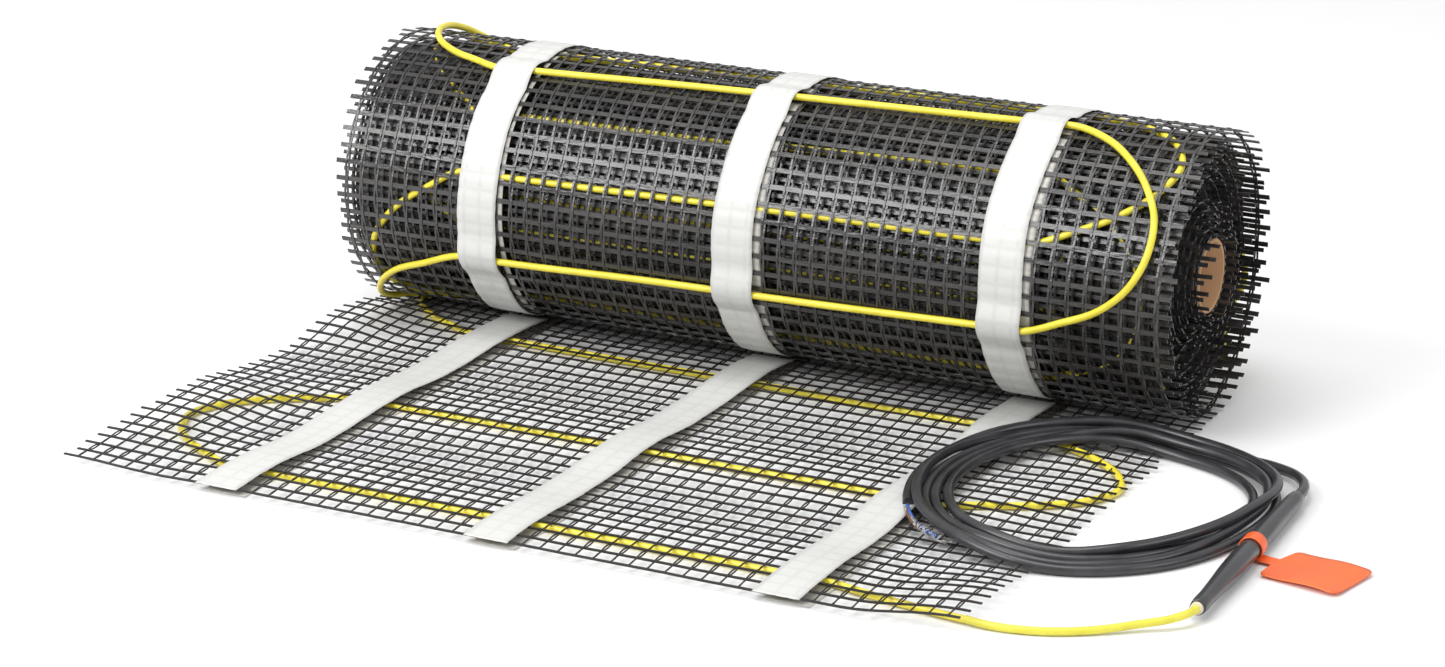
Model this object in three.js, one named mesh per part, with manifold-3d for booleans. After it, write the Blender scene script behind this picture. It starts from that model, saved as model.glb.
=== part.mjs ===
// Underfloor heating mat, partly unrolled: a roll of open glass-fibre mesh on a cardboard tube, with one
// flat end that lies on the floor. The heating cable runs to and fro on the mesh's outer side, held by
// tapes on both sides, and leaves at the front corner to a joint sleeve and a coiled cold lead.
// Millimetres, +Z up. X runs along the roll, Y from the mat's free end towards the roll.
import * as THREE from "three";
import { mergeVertices } from "three/addons/utils/BufferGeometryUtils.js";
import Module from "manifold-3d";

const wasm = await Module();
wasm.setup();

// Mat
const matWidth = 500;
const flatLength = 343;
const meshThickness = 1.2;
const rollRadius = 80;
const turnCount = 11;
const turnGrooveDepth = 6;
const touchGap = 0.3;

// Cardboard tube in the roll
const coreOuterRadius = 20.5;
const coreWall = 2;

// Tapes
const tapeWidth = 25;
const tapePitch = 160;
const tapeThickness = 0.4;
const outerTapeEndAngle = 343;
const innerTapeEndGap = 27;

// Heating cable
const cableDiameter = 4;
const runSpacing = 120;
const runHalfLength = 175;
const cableExitY = 16.8;
const cableSides = 8;

// Joint sleeve and its tag
const sleeveLength = 161;
const sleeveStart = new THREE.Vector3(344.6, 70, 6.7);
const sleeveTurn = 2;
const linerRadius = 3.1;
const linerReach = 1.4;
const tagLoopAt = 80;
const tagLoopWidth = 8;
const tagThickness = 0.6;
const tagLength = 44;
const tagWidth = 38;
const tagNeckLength = 15;
const tagNeckWidth = 9;
const tagCornerRadius = 3.5;
const tagTurn = -14;

// Cold lead
const leadDiameter = 5.5;
const leadSides = 10;
const coilCentre = new THREE.Vector3(244, 188, 0);
const coilHalfWidth = 89.5;
const coilHalfLength = 101;
const coilBundleWidth = 24;
const coilBundleHeight = 12;
const coilTilt = 2.5;
const coilRestZ = 6.7;
const strippedDiameter = 3;

// Sizes that follow from those above
const meshLow = tapeThickness + touchGap;
const rollAxisZ = meshLow + rollRadius;
const boreRadius = coreOuterRadius + touchGap;
const coreLength = matWidth;
const cableRadius = cableDiameter / 2;
const cableOffset = touchGap + cableRadius;
const cableFloorZ = meshLow + cableRadius;
const meshRaise = cableDiameter + touchGap;
const originY = (flatLength + rollRadius + cableOffset + cableRadius) / 2;

// The cable's runs across the mat: how far along the mat each one lies at its left and right end, in run
// spacings. They sag a little differently, as a hand-laid cable does.
const cableRuns = [
  { left: 0.263, right: 0.242 },
  { left: 1.258, right: 1.242 },
  { left: 2.325, right: 2.258 },
  { left: 3.25, right: 3.233 },
  { left: 4.225, right: 4.192 },
  { left: 5.242, right: 5.133 },
  { left: 6.225, right: 6.15 },
].map(({ left, right }) => ({ left: left * runSpacing, right: right * runSpacing }));

// The loop that ends each run: the side it lies on, how far out it reaches as a share of half the mat's width,
// and how many cable radii it stands off the roll.
const cableLoops = [
  { side: -1, share: 0.952, lift: 0 },
  { side: 1, share: 0.984, lift: 0 },
  { side: -1, share: 0.952, lift: 0 },
  { side: 1, share: 0.968, lift: 0 },
  { side: -1, share: 0.92, lift: 2.5 },
  { side: 1, share: 0.968, lift: 0 },
  { side: -1, share: 0.984, lift: 0 },
].map(({ side, share, lift }) => ({ side, reach: (share * matWidth) / 2, standOff: lift * cableRadius }));
const lastLoopNext = 7.183 * runSpacing;

// One loop's shape: the share of its reach outwards, and the share of the way from one run to the next.
const loopShape = [
  [0.3, 0.08],
  [0.64, 0.19],
  [0.9, 0.34],
  [1, 0.5],
  [0.9, 0.66],
  [0.64, 0.81],
  [0.3, 0.92],
];

const degrees = THREE.MathUtils.degToRad;

// A finish for one sub-part.
function finish(color, roughness, metalness = 0) {
  return new THREE.MeshStandardMaterial({ color, roughness, metalness });
}

const meshFinish = finish("#2b2624", 0.35);
const cardFinish = finish("#9a6f4c", 0.9);
const cableFinish = finish("#e6d636", 0.4);
const tapeFinish = finish("#ecece8", 0.5);
const sleeveFinish = finish("#3a3a3c", 0.35);
const linerFinish = finish("#e9e0c6", 0.5);
const tagFinish = finish("#f26a2e", 0.45);
const leadFinish = finish("#2a2a2c", 0.3);
const strippedFinish = finish("#b9bcc0", 0.35, 0.6);

// A named mesh.
function piece(name, geometry, material) {
  const mesh = new THREE.Mesh(geometry, material);
  mesh.name = name;
  return mesh;
}

// The solid of a closed geometry.
function solidFrom(geometry) {
  const bare = geometry.index ? geometry.toNonIndexed() : geometry.clone();
  bare.deleteAttribute("normal");
  bare.deleteAttribute("uv");
  const merged = mergeVertices(bare, 1e-4);
  const mesh = new wasm.Mesh({
    numProp: 3,
    vertProperties: merged.attributes.position.array,
    triVerts: new Uint32Array(merged.index.array),
  });
  return new wasm.Manifold(mesh);
}

// The geometry of a solid.
function geometryFrom(solid) {
  const mesh = solid.getMesh();
  const geometry = new THREE.BufferGeometry();
  geometry.setAttribute("position", new THREE.BufferAttribute(mesh.vertProperties, 3));
  geometry.setIndex(new THREE.BufferAttribute(mesh.triVerts, 1));
  geometry.computeVertexNormals();
  return geometry;
}

// A point of the mat's outer side: x across it, along its length from the free end, and so far off the mesh.
// Past flatLength the mat goes under the roll, up its back and over its top.
function onMat(x, along, off) {
  if (along <= flatLength) {
    return new THREE.Vector3(x, along, meshLow - off);
  }
  const angle = (along - flatLength) / rollRadius;
  const radius = rollRadius + off;
  return new THREE.Vector3(x, flatLength + radius * Math.sin(angle), rollAxisZ - radius * Math.cos(angle));
}

// The cable's route in the mat's own plane: x across, y along, z how far it stands off the mesh.
function cablePlan() {
  const points = [
    new THREE.Vector3(matWidth / 2 - touchGap, cableExitY, 0),
    new THREE.Vector3(222, 20, 0),
    new THREE.Vector3(196, 24.5, 0),
  ];
  cableRuns.forEach((run, i) => {
    const loop = cableLoops[i];
    const side = loop.side;
    const start = side < 0 ? run.left : run.right;
    const next = cableRuns[i + 1] ?? { left: lastLoopNext, right: lastLoopNext };
    const end = side < 0 ? next.left : next.right;
    points.push(new THREE.Vector3(-side * runHalfLength, side < 0 ? run.right : run.left, 0));
    points.push(new THREE.Vector3(side * runHalfLength, start, 0));
    for (const [out, on] of loopShape) {
      const beyondSight = i === cableRuns.length - 1 && on > 0.5;
      if (!beyondSight) {
        const x = side * (runHalfLength + out * (loop.reach - runHalfLength));
        points.push(new THREE.Vector3(x, start + on * (end - start), loop.standOff * out));
      }
    }
  });
  return new THREE.CatmullRomCurve3(points);
}

const heatingPlan = cablePlan();

// The cable's route in space: flat on the floor, then pressed under the roll, then round the roll.
// Its steps are as many between any two of the plan's points, so that the loops get the most.
class HeldRoute extends THREE.Curve {
  constructor(plan, from, to) {
    super();
    this.plan = plan;
    this.from = from;
    this.to = to;
  }

  getPoint(t) {
    const flat = this.plan.getPoint(this.from + t * (this.to - this.from));
    const point = onMat(flat.x, flat.y, cableOffset + Math.max(0, flat.z));
    point.z = flat.y <= flatLength ? cableFloorZ : Math.max(cableFloorZ, point.z);
    return point;
  }

  getPointAt(u) {
    return this.getPoint(u);
  }

  getTangentAt(u) {
    return this.getTangent(u);
  }
}

// A round section as a polygon.
function roundSection(radius, sides) {
  const shape = new THREE.Shape();
  for (let i = 0; i < sides; i++) {
    const angle = (2 * Math.PI * i) / sides;
    const [x, y] = [radius * Math.cos(angle), radius * Math.sin(angle)];
    if (i === 0) {
      shape.moveTo(x, y);
    } else {
      shape.lineTo(x, y);
    }
  }
  shape.closePath();
  return shape;
}

// A tube of one diameter along a curve.
function tubeAlong(curve, diameter, sides, steps) {
  const section = roundSection(diameter / 2, sides);
  return new THREE.ExtrudeGeometry(section, { steps, extrudePath: curve, bevelEnabled: false, curveSegments: 1 });
}

// A tube through points.
function tubeThrough(points, diameter, sides, steps) {
  const curve = new THREE.CatmullRomCurve3(points.map((p) => new THREE.Vector3(...p)));
  return tubeAlong(curve, diameter, sides, steps);
}

// How near the cable comes to a place of the flat part, in the mat's plane.
const planSamples = heatingPlan.getPoints(900).filter((p) => p.y < flatLength + 2 * runHalfLength);

function distanceToCable(x, y) {
  return planSamples.reduce((least, p) => Math.min(least, Math.hypot(p.x - x, p.y - y)), Infinity);
}

// The height of the mesh's underside: low on its tapes, and raised over each stretch of cable.
const raisedWithin = 16;
const lowBeyond = 42;

function meshUnderside(x, y) {
  const share = 1 - THREE.MathUtils.smoothstep(distanceToCable(x, y), raisedWithin, lowBeyond);
  return meshLow + meshRaise * share;
}

// The flat end: a thin wavy sheet.
const sheetColumns = 20;
const sheetRows = 26;
const rowPlaces = Array.from({ length: sheetRows + 1 }, (_, i) => (i * flatLength) / sheetRows);
const columnPlaces = Array.from({ length: sheetColumns + 1 }, (_, i) => (i / sheetColumns - 0.5) * matWidth);

function flatSheet() {
  const sheet = new THREE.BoxGeometry(matWidth, flatLength, meshThickness, sheetColumns, sheetRows, 1);
  sheet.translate(0, flatLength / 2, meshThickness / 2);
  const place = sheet.attributes.position;
  for (let i = 0; i < place.count; i++) {
    place.setZ(i, place.getZ(i) + meshUnderside(place.getX(i), place.getY(i)));
  }
  return sheet;
}

// The roll: turned about its axis, with a ridge on both ends for each turn.
function roll() {
  const turnPitch = (rollRadius - boreRadius) / turnCount;
  const half = matWidth / 2;
  const right = [];
  for (let i = 0; i < turnCount; i++) {
    right.push([rollRadius - i * turnPitch, half]);
    right.push([rollRadius - (i + 0.5) * turnPitch, half - turnGrooveDepth]);
  }
  right.push([boreRadius, half]);
  const left = right.map(([radius, x]) => [radius, -x]).reverse();
  const profile = [...left, ...right].map(([radius, x]) => new THREE.Vector2(radius, x));
  profile.push(profile[0].clone());
  const segments = 40;
  const turned = new THREE.LatheGeometry(profile, segments, Math.PI / segments);
  turned.rotateZ(-Math.PI / 2);
  turned.translate(0, flatLength, rollAxisZ);
  return turned;
}

// The mesh is one woven length: its flat end runs into the roll, and the cable presses a groove into the
// roll's underside where it passes beneath.
function glassFibreMesh() {
  const grooveGap = 0.55;
  const groovedFrom = 0.25;
  const groovedTo = 0.62;
  const groovePath = new HeldRoute(heatingPlan, groovedFrom, groovedTo);
  const groove = tubeAlong(groovePath, cableDiameter + 2 * grooveGap, cableSides, 72);
  const groovedRoll = solidFrom(roll()).subtract(solidFrom(groove));
  const whole = groovedRoll.add(solidFrom(flatSheet()));
  return piece("glass_fibre_mesh", geometryFrom(whole), meshFinish);
}

// The cardboard tube that the mat is rolled on.
function cardboardCore() {
  const inner = coreOuterRadius - coreWall;
  const half = coreLength / 2;
  const profile = [
    new THREE.Vector2(coreOuterRadius, -half),
    new THREE.Vector2(coreOuterRadius, half),
    new THREE.Vector2(inner, half),
    new THREE.Vector2(inner, -half),
    new THREE.Vector2(coreOuterRadius, -half),
  ];
  const tube = new THREE.LatheGeometry(profile, 32);
  tube.rotateZ(-Math.PI / 2);
  const core = piece("cardboard_core", tube, cardFinish);
  core.position.set(0, flatLength, rollAxisZ);
  return core;
}

// A tape from its mid line, given as points [y, z] in a plane across the roll's axis.
function tapeAlong(name, centreX, line) {
  const points = line.map(([y, z]) => new THREE.Vector2(y, z));
  const normals = points.map((point, i) => {
    const before = points[Math.max(i - 1, 0)];
    const after = points[Math.min(i + 1, points.length - 1)];
    const along = after.clone().sub(before).normalize();
    return new THREE.Vector2(-along.y, along.x).multiplyScalar(tapeThickness / 2);
  });
  const upper = points.map((point, i) => point.clone().add(normals[i]));
  const lower = points.map((point, i) => point.clone().sub(normals[i]));
  const shape = new THREE.Shape([...lower, ...upper.reverse()]);
  const tape = new THREE.ExtrudeGeometry(shape, { depth: tapeWidth, bevelEnabled: false, curveSegments: 1 });
  const turn = new THREE.Matrix4().makeBasis(
    new THREE.Vector3(0, 1, 0),
    new THREE.Vector3(0, 0, 1),
    new THREE.Vector3(1, 0, 0),
  );
  tape.applyMatrix4(turn);
  const mesh = piece(name, tape, tapeFinish);
  mesh.position.x = centreX - tapeWidth / 2;
  return mesh;
}

// How far along the mat a run lies where it passes a tape.
function runAt(run, x) {
  return THREE.MathUtils.mapLinear(x, -runHalfLength, runHalfLength, run.left, run.right);
}

// An outer tape: straight on the floor under the cable, then round the roll and over each run there.
function outerTape(name, centreX) {
  const bumpTop = 4.5;
  const bumpFoot = 10;
  const rest = touchGap + tapeThickness / 2;
  const over = rest + cableDiameter + touchGap;
  const stepAngle = 7.5;
  const end = flatLength + rollRadius * degrees(outerTapeEndAngle);
  const crossings = cableRuns.map((run) => runAt(run, centreX)).filter((s) => s > flatLength + bumpFoot);
  const stations = [
    { along: 0, off: rest },
    { along: flatLength, off: rest },
  ];
  for (let angle = stepAngle; angle < outerTapeEndAngle; angle += stepAngle) {
    const along = flatLength + rollRadius * degrees(angle);
    if (crossings.every((s) => Math.abs(s - along) > bumpFoot + 1)) {
      stations.push({ along, off: rest });
    }
  }
  for (const s of crossings) {
    stations.push({ along: s - bumpFoot, off: rest });
    stations.push({ along: s - bumpTop, off: over });
    stations.push({ along: s + bumpTop, off: over });
    stations.push({ along: s + bumpFoot, off: rest });
  }
  stations.push({ along: end, off: rest });
  stations.sort((a, b) => a.along - b.along);
  const line = stations.map(({ along, off }) => {
    const point = onMat(0, along, off);
    return [point.y, point.z];
  });
  return tapeAlong(name, centreX, line);
}

// An inner tape: on the flat end's upper side, following the mesh up to the roll.
function innerTape(name, centreX) {
  const reach = tapeWidth / 2 + matWidth / sheetColumns;
  const columns = columnPlaces.filter((x) => Math.abs(x - centreX) <= reach);
  const rise = meshThickness + touchGap + tapeThickness / 2;
  const line = rowPlaces
    .filter((y) => y < flatLength - innerTapeEndGap)
    .map((y) => [y, rise + Math.max(...columns.map((x) => meshUnderside(x, y)))]);
  return tapeAlong(name, centreX, line);
}

// The heating cable, held on the mat from its front corner to where it passes into the roll.
function heatingCable() {
  const steps = 3 * (heatingPlan.points.length - 1);
  const route = new HeldRoute(heatingPlan, 0, 1);
  return piece("heating_cable", tubeAlong(route, cableDiameter, cableSides, steps), cableFinish);
}

// The cable's free end, from the mat's edge to the joint sleeve.
const leadOutPoints = [
  [matWidth / 2 + touchGap, cableExitY, cableFloorZ],
  [268, 16, 2.5],
  [289, 21.5, 2.5],
  [309, 33, 2.8],
  [325, 45.5, 4],
  [337.5, 54.5, 5.6],
  [343.6, 62, 6.6],
  [344.7, 67.9, 6.7],
];

function leadOut() {
  return piece("heating_cable_lead_out", tubeThrough(leadOutPoints, cableDiameter, cableSides, 16), cableFinish);
}

// The joint sleeve's shape: how far from its lower end, and its radius there.
const sleeveOutline = [
  [0, 3.9],
  [14, 4.1],
  [34, 4.9],
  [54, 5.6],
  [70, 5.7],
  [78, 5.3],
  [84, 5.3],
  [108, 5.4],
  [128, 4.8],
  [150, 4.5],
  [sleeveLength, 4],
];

// A solid turned about the sleeve's own axis, which lies along Y.
function turnedOnSleeve(name, profile, segments, material) {
  const points = profile.map(([radius, at]) => new THREE.Vector2(radius, at));
  const mesh = piece(name, new THREE.LatheGeometry(points, segments), material);
  mesh.position.copy(sleeveStart);
  mesh.rotation.z = degrees(sleeveTurn);
  return mesh;
}

// The shrunk sleeve round the joint.
function jointSleeve() {
  const hole = linerRadius + touchGap;
  const outside = sleeveOutline.map(([at, radius]) => [radius, at]);
  const profile = [[hole, 0], ...outside, [hole, sleeveLength], [hole, 0]];
  return turnedOnSleeve("joint_sleeve", profile, 16, sleeveFinish);
}

// The light liner inside it, which shows at both ends.
function jointLiner() {
  const profile = [
    [0, -linerReach],
    [linerRadius, -linerReach],
    [linerRadius, sleeveLength + linerReach],
    [0, sleeveLength + linerReach],
  ];
  return turnedOnSleeve("joint_liner", profile, 12, linerFinish);
}

// A rectangle with round corners, from its centre.
function roundedPlate(length, width, corner) {
  const [x, y] = [length / 2, width / 2];
  const shape = new THREE.Shape();
  shape.absarc(x - corner, y - corner, corner, 0, Math.PI / 2);
  shape.absarc(-x + corner, y - corner, corner, Math.PI / 2, Math.PI);
  shape.absarc(-x + corner, -y + corner, corner, Math.PI, 1.5 * Math.PI);
  shape.absarc(x - corner, -y + corner, corner, 1.5 * Math.PI, 2 * Math.PI);
  return shape;
}

// The sleeve's radius at a place along it.
function sleeveRadiusAt(at) {
  const next = sleeveOutline.findIndex(([end]) => end >= at);
  const [[from, start], [to, end]] = [sleeveOutline[next - 1], sleeveOutline[next]];
  return THREE.MathUtils.mapLinear(at, from, to, start, end);
}

// The tag: one strip of plastic, looped round the sleeve, with a neck and a flat flag on the floor.
function jointTag() {
  const [low, high] = [tagLoopAt - tagLoopWidth / 2, tagLoopAt + tagLoopWidth / 2];
  const loopInner = Math.max(sleeveRadiusAt(low), sleeveRadiusAt(high)) + touchGap;
  const loopOuter = loopInner + tagThickness;
  const loopProfile = [
    [loopInner, low],
    [loopOuter, low],
    [loopOuter, high],
    [loopInner, high],
    [loopInner, low],
  ];
  const loop = turnedOnSleeve("", loopProfile, 20, tagFinish);
  loop.updateMatrixWorld();
  const loopGeometry = loop.geometry.clone().applyMatrix4(loop.matrixWorld);
  const foot = new THREE.Vector3(0, tagLoopAt, -loopOuter).applyMatrix4(loop.matrixWorld);

  const neckEnd = tagNeckLength + 2;
  const neck = new THREE.BoxGeometry(neckEnd, tagNeckWidth, tagThickness);
  neck.translate(neckEnd / 2, 0, 0);
  const plate = roundedPlate(tagLength, tagWidth, tagCornerRadius);
  const flag = new THREE.ExtrudeGeometry(plate, { depth: tagThickness, bevelEnabled: false, curveSegments: 4 });
  flag.translate(tagNeckLength + tagLength / 2, 0, -tagThickness / 2);
  const flat = solidFrom(neck).add(solidFrom(flag));
  const laid = geometryFrom(flat);
  laid.rotateZ(degrees(tagTurn));
  laid.translate(foot.x, foot.y, foot.z + tagThickness / 2);
  const whole = solidFrom(loopGeometry).add(solidFrom(laid));
  return piece("joint_tag", geometryFrom(whole), tagFinish);
}

// A point beside the coil: its place round the coil, how far outside the coil's edge, and its height.
function besideCoil(angle, outside, z) {
  const turn = degrees(angle);
  const x = coilCentre.x + (coilHalfWidth + outside) * Math.cos(turn);
  const y = coilCentre.y + (coilHalfLength + outside) * Math.sin(turn);
  return [x, y, z];
}

// The coil of the cold lead, as the bundle's outer shape: an oval ring that rests on the mat's edge.
function coldLeadCoil() {
  const outer = coilHalfLength;
  const inner = coilHalfLength - coilBundleWidth;
  const corner = coilBundleHeight / 3;
  const profile = [
    [inner + corner, 0],
    [outer - corner, 0],
    [outer, corner],
    [outer, coilBundleHeight - corner],
    [outer - corner, coilBundleHeight],
    [inner + corner, coilBundleHeight],
    [inner, coilBundleHeight - corner],
    [inner, corner],
    [inner + corner, 0],
  ].map(([radius, height]) => new THREE.Vector2(radius, height));
  const ring = new THREE.LatheGeometry(profile, 40);
  ring.rotateX(Math.PI / 2);
  ring.scale(coilHalfWidth / coilHalfLength, 1, 1);
  const coil = piece("cold_lead_coil", ring, leadFinish);
  const lever = matWidth / 2 - coilCentre.x;
  coil.position.set(coilCentre.x, coilCentre.y, coilRestZ + lever * Math.sin(degrees(coilTilt)));
  coil.rotation.y = degrees(coilTilt);
  return coil;
}

// The cold lead's stretch from the joint sleeve to the coil.
const leadStretchPoints = [
  [338.9, 232.7, 6.7],
  [338.4, 242, 6.5],
  [335, 252, 6.6],
  [326.5, 260.5, 7.6],
  [315, 265.6, 9.2],
  [302.6, 268, 10.3],
];

function coldLeadStretch() {
  return piece("cold_lead", tubeThrough(leadStretchPoints, leadDiameter, leadSides, 10), leadFinish);
}

// The height over the floor of what lies on the flat end at its highest: the raised mesh, then the tape on it.
const meshTop = meshLow + meshRaise + meshThickness;
const tapeTop = meshTop + touchGap + tapeThickness;

// The lead's cut end, under the coil's outer edge on the right tape, and the stripped cores that come out of it.
function coldLeadEnd() {
  const height = tapeTop + touchGap + leadDiameter / 2;
  const under = -0.3;
  const points = [196, 203, 210, 216].map((angle) => besideCoil(angle, under, height));
  return piece("cold_lead_end", tubeThrough(points, leadDiameter, leadSides, 5), leadFinish);
}

function strippedCores() {
  const radius = strippedDiameter / 2;
  const leaving = tapeTop + touchGap + leadDiameter / 2;
  const lying = meshTop + touchGap + radius;
  const way = [
    [216.4, 0, leaving],
    [221, 0.6, leaving - 0.8],
    [228, 1.6, lying],
    [235, 2, lying],
    [241, 2, lying],
    [247, 2, lying],
  ];
  const points = way.map(([angle, outside, height]) => besideCoil(angle, outside, height));
  return piece("stripped_cores", tubeThrough(points, strippedDiameter, cableSides, 14), strippedFinish);
}

const laidOut = new THREE.Group();
laidOut.position.y = -originY;
laidOut.add(glassFibreMesh(), cardboardCore(), heatingCable());
for (const [side, centreX] of [["left", -tapePitch], ["middle", 0], ["right", tapePitch]]) {
  laidOut.add(outerTape(`outer_tape_${side}`, centreX));
  laidOut.add(innerTape(`inner_tape_${side}`, centreX));
}
laidOut.add(leadOut(), jointSleeve(), jointLiner(), jointTag());
laidOut.add(coldLeadStretch(), coldLeadCoil(), coldLeadEnd(), strippedCores());

const heatingMat = new THREE.Group();
heatingMat.add(laidOut);

export default heatingMat;
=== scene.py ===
import math

import bpy
import numpy as np
from bpy.props import FloatProperty, IntProperty, PointerProperty
from bpy.types import Operator, Panel, PropertyGroup
from mathutils import Euler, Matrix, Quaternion, Vector


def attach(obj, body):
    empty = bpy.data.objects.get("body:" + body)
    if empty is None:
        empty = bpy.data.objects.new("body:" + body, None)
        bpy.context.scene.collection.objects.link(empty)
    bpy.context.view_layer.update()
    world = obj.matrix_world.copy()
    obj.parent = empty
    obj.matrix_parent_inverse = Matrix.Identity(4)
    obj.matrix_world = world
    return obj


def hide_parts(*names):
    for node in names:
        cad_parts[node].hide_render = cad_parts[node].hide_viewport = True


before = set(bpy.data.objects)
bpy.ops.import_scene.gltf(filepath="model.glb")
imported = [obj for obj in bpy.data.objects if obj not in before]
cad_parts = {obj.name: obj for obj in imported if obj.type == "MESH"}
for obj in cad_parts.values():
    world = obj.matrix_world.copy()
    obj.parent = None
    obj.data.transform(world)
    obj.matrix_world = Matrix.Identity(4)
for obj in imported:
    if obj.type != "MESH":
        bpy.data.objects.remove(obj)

bl_info = {
    "name": "Underfloor Heating Mat",
    "version": (1, 0, 0),
    "blender": (4, 5, 0),
    "location": "View3D > Sidebar > Heating Mat",
    "description": "Builds a partly unrolled underfloor heating mat over its packed CAD frame",
    "category": "Object",
}

# The mat's own frame: x across it, y from its free end, which lies here in the shared frame.
MAT_FRONT_Y = -0.21365
FLAT_LENGTH = 0.343
MESH_LOW_Z = 0.0007
MESH_THICKNESS = 0.0012
TURN = 2 * math.pi
# Each turn's radius at the mesh's outer side. The mat is wound tight outside and round its tube, and loose
# between.
TURN_RADII = [0.080, 0.0746, 0.0692, 0.0638, 0.0584, 0.0530, 0.0405, 0.0356, 0.0310, 0.0268, 0.0232]
# How far each turn's ends lie in from the mat's edge.
TURN_RECESS = [0, 0.001, 0.003, 0.005, 0.008, 0.011, 0.007, 0.005, 0.003, 0.001, -0.001]
# The angle, of each full turn, from which the mesh comes in to the next turn's radius.
STEP_FROM = 5.6
AXIS_Z = MESH_LOW_Z + TURN_RADII[0]
ROLL_MIDDLE = (0, FLAT_LENGTH + MAT_FRONT_Y, AXIS_Z)

# Heights of the flat part's two edges over the floor, at even steps from its free end, in millimetres.
LEFT_EDGE_LIFT = [4, 4.5, 6, 7, 8.6, 9.1, 8.6, 6, 3.6, 2, 1.6, 4.4, 9, 9.2, 8.6, 4, 1, 0]
RIGHT_EDGE_LIFT = [9, 9.3, 8.4, 5.5, 3, 2.7, 2.4, 2, 2, 3, 3, 2, 1.5, 1, 1, 0.6, 0.3, 0]
EDGE_STEP = 0.0205


def smoothstep(value, low, high):
    """A smooth rise from 0 at low to 1 at high."""
    t = np.clip((np.asarray(value, float) - low) / (high - low), 0, 1)
    return t * t * (3 - 2 * t)


def turn_radii(theta):
    """The radius of the mesh's outer side at an angle round the roll, counted on through the turns."""
    turn = np.floor(theta / TURN).astype(int)
    here = np.take(TURN_RADII, np.clip(turn, 0, len(TURN_RADII) - 1))
    after = np.take(TURN_RADII, np.clip(turn + 1, 0, len(TURN_RADII) - 1))
    return here + (after - here) * smoothstep(theta - turn * TURN, STEP_FROM, TURN)


ANGLES = np.linspace(0, TURN * len(TURN_RADII) - 1e-6, 6000)
RADII = turn_radii(ANGLES)
ALONG = FLAT_LENGTH + np.concatenate([[0], np.cumsum((RADII[1:] + RADII[:-1]) / 2 * np.diff(ANGLES))])


def along_at(degrees):
    """How far along the mat an angle round the roll lies."""
    return float(np.interp(math.radians(degrees), ANGLES, ALONG))


def wrapped(points):
    """Points of the mat (across, along, off its outer side) in the shared frame."""
    across, along, off = np.asarray(points, float).T
    theta = np.interp(along, ALONG, ANGLES)
    radius = np.interp(theta, ANGLES, RADII) + off
    y = FLAT_LENGTH + radius * np.sin(theta)
    z = AXIS_Z - radius * np.cos(theta)
    flat = along <= FLAT_LENGTH
    y = np.where(flat, along, y)
    z = np.where(flat, MESH_LOW_Z - off, z)
    return np.column_stack([across, y + MAT_FRONT_Y, z])


def spot(x, y, z):
    """A place of the mat's own frame, in millimetres, in the shared frame's metres."""
    return Vector((x / 1000, y / 1000 + MAT_FRONT_Y, z / 1000))


def line_through(points, step):
    """Points at about one step from each other on a smooth curve through the given ones."""
    points = np.asarray(points, float)
    gaps = np.linalg.norm(np.diff(points, axis=0), axis=1)
    slopes = np.diff(points, axis=0) / gaps[:, None]
    tangents = np.vstack([slopes[:1], slopes[:-1] * 0, slopes[-1:]])
    before, after = gaps[:-1, None], gaps[1:, None]
    tangents[1:-1] = (slopes[:-1] * after + slopes[1:] * before) / (before + after)
    made = []
    for i, gap in enumerate(gaps):
        t = np.linspace(0, 1, max(2, int(round(gap / step)) + 1))[:-1, None]
        a, b = points[i], points[i + 1]
        made.append(
            a * (2 * t**3 - 3 * t**2 + 1)
            + tangents[i] * gap * (t**3 - 2 * t**2 + t)
            + b * (3 * t**2 - 2 * t**3)
            + tangents[i + 1] * gap * (t**3 - t**2)
        )
    return np.vstack([*made, points[-1:]])


# Settings


class HeatingMatSettings(PropertyGroup):
    """Sizes of the mat, in metres."""

    half_width: FloatProperty(
        name="Half Width",
        description="From the mat's middle to its outermost warp",
        default=0.248,
        unit="LENGTH",
    )
    weft_pitch: FloatProperty(
        name="Weft Pitch",
        description="Distance between the strands across the flat part",
        default=0.0100,
        unit="LENGTH",
    )
    wound_pitch: FloatProperty(
        name="Wound Pitch",
        description="Distance between the strands across the roll",
        default=0.0098,
        unit="LENGTH",
    )
    warp_pitch: FloatProperty(
        name="Warp Pitch",
        description="Distance between the strands along the mat",
        default=0.00992,
        unit="LENGTH",
    )
    tip_length: FloatProperty(
        name="Tip Length",
        description="How far the strands reach past the outermost warp",
        default=0.008,
        unit="LENGTH",
    )
    cable_diameter: FloatProperty(
        name="Cable Diameter",
        description="Diameter of the heating cable",
        default=0.004,
        unit="LENGTH",
    )
    tape_width: FloatProperty(
        name="Tape Width",
        description="Width of each tape",
        default=0.025,
        unit="LENGTH",
    )
    tape_pitch: FloatProperty(
        name="Tape Pitch",
        description="Distance between the tapes' mid lines",
        default=0.160,
        unit="LENGTH",
    )
    lead_diameter: FloatProperty(
        name="Lead Diameter",
        description="Diameter of the cold lead",
        default=0.0055,
        unit="LENGTH",
    )
    detailed_turns: IntProperty(
        name="Detailed Turns",
        description="Turns of the roll whose mesh is built over its whole width",
        default=4,
        min=1,
        max=6,
    )
    seed: IntProperty(
        name="Seed",
        description="Seed of the strands' small irregularities",
        default=7,
    )


# Nodes and materials


def add_node(tree, kind, inputs=None, **settings):
    """Adds a node. Inputs are by socket name or number, each a value or the socket that feeds it."""
    made = tree.nodes.new(kind)
    for key, value in settings.items():
        setattr(made, key, value)
    for key, value in (inputs or {}).items():
        if isinstance(value, bpy.types.NodeSocket):
            tree.links.new(value, made.inputs[key])
        else:
            made.inputs[key].default_value = value
    return made


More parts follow.
